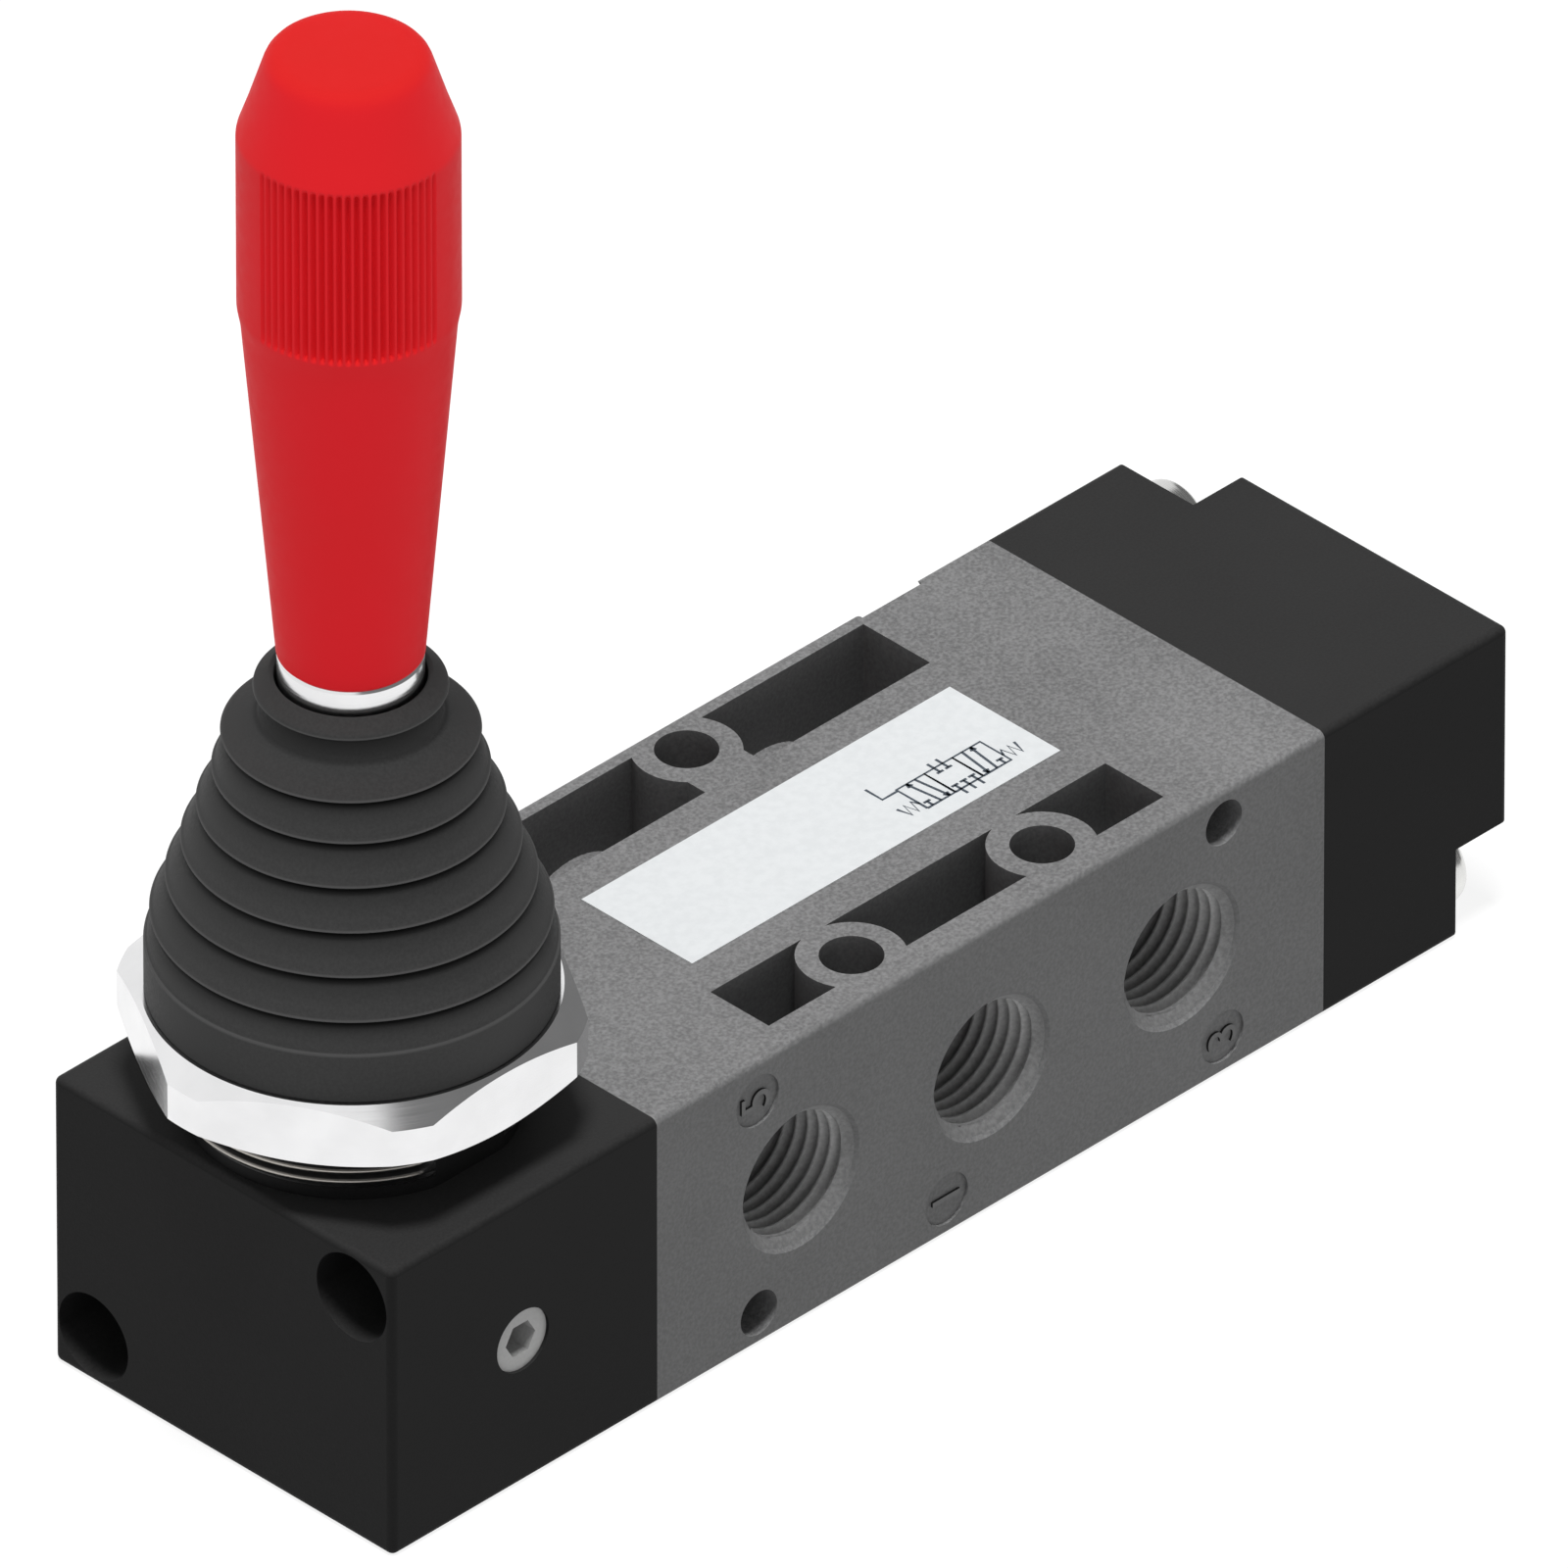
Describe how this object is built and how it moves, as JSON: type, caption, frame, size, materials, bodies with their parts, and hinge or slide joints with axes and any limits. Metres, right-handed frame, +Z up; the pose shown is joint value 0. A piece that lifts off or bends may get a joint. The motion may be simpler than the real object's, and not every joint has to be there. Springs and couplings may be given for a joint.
{
  "type": "hand lever air valve",
  "caption": "Hand lever directional air valve, spring centred, with panel neck and threaded ports on both sides.",
  "frame": {"origin": "on the bottom face, under the middle port, halfway across the valve", "axes": "+X from the lever end to the rear cap, +Y towards the side with ports 4 and 2, +Z up along the lever at rest"},
  "size_m": [0.1364, 0.04, 0.1346],
  "materials": {
    "grey_casting": "matt grey coated aluminium casting, fine grain",
    "black_moulding": "matt black glass filled moulding",
    "acetal": "natural acetal",
    "spring_steel": "drawn steel",
    "turned_steel": "fine turned",
    "zinc_plated_steel": "bright zinc plate",
    "nickel_plate": "bright nickel plate",
    "spool_aluminium": "polished and nickel plated",
    "insert_brass": "turned",
    "boot_rubber": "matt moulded rubber",
    "seal_rubber": "nitrile rubber",
    "red_moulding": "red moulding, satin gloss",
    "label_film": "white printed label, satin"
  },
  "bodies": {
    "housing": {"valve_body": "grey_casting", "lever_housing": "black_moulding", "rear_cap": "black_moulding", "lower_ball_seat": "acetal", "upper_ball_seat": "acetal", "circlip": "spring_steel", "panel_nut": "nickel_plate", "boot": "boot_rubber", "front_centring_spring": "spring_steel", "rear_centring_spring": "spring_steel", "front_bush": "acetal", "rear_bush": "acetal", "front_face_seal": "seal_rubber", "rear_face_seal": "seal_rubber", "guide_screw": "zinc_plated_steel", "front_screws": "zinc_plated_steel", "rear_screws": "zinc_plated_steel", "label_plate": "label_film", "cage_port_5": "acetal", "cage_port_4": "acetal", "cage_port_1": "acetal", "cage_port_2": "acetal", "cage_port_3": "acetal", "spool_seal_1": "seal_rubber", "spool_seal_2": "seal_rubber", "spool_seal_3": "seal_rubber", "spool_seal_4": "seal_rubber", "spool_seal_5": "seal_rubber", "spool_seal_6": "seal_rubber"},
    "lever": {"lever_shaft": "turned_steel", "lever_collar": "nickel_plate", "knob": "red_moulding", "knob_insert": "insert_brass"},
    "spool_train": {"spool": "spool_aluminium", "spool_slider": "turned_steel", "coupling_pin": "spring_steel", "spring_plate": "turned_steel", "plate_nut": "zinc_plated_steel"}
  },
  "joints": [
    {"name": "lever_tilt", "type": "hinge", "parent": "housing", "child": "lever", "pos_m": [-0.0551, 0, 0.035], "axis": [0, 1, 0], "range_deg": [-11.2, 11.2], "stiffness_Nm_per_rad": 3.4, "deforming": ["boot"]},
    {"name": "spool_slide", "type": "slide", "parent": "housing", "child": "spool_train", "axis": [1, 0, 0], "range_m": [-0.00402, 0.00402], "deforming": ["front_centring_spring", "rear_centring_spring"]}
  ],
  "couplings": [
    {"joint": "spool_slide", "follows": "lever_tilt", "m_per_rad": -0.0205}
  ]
}
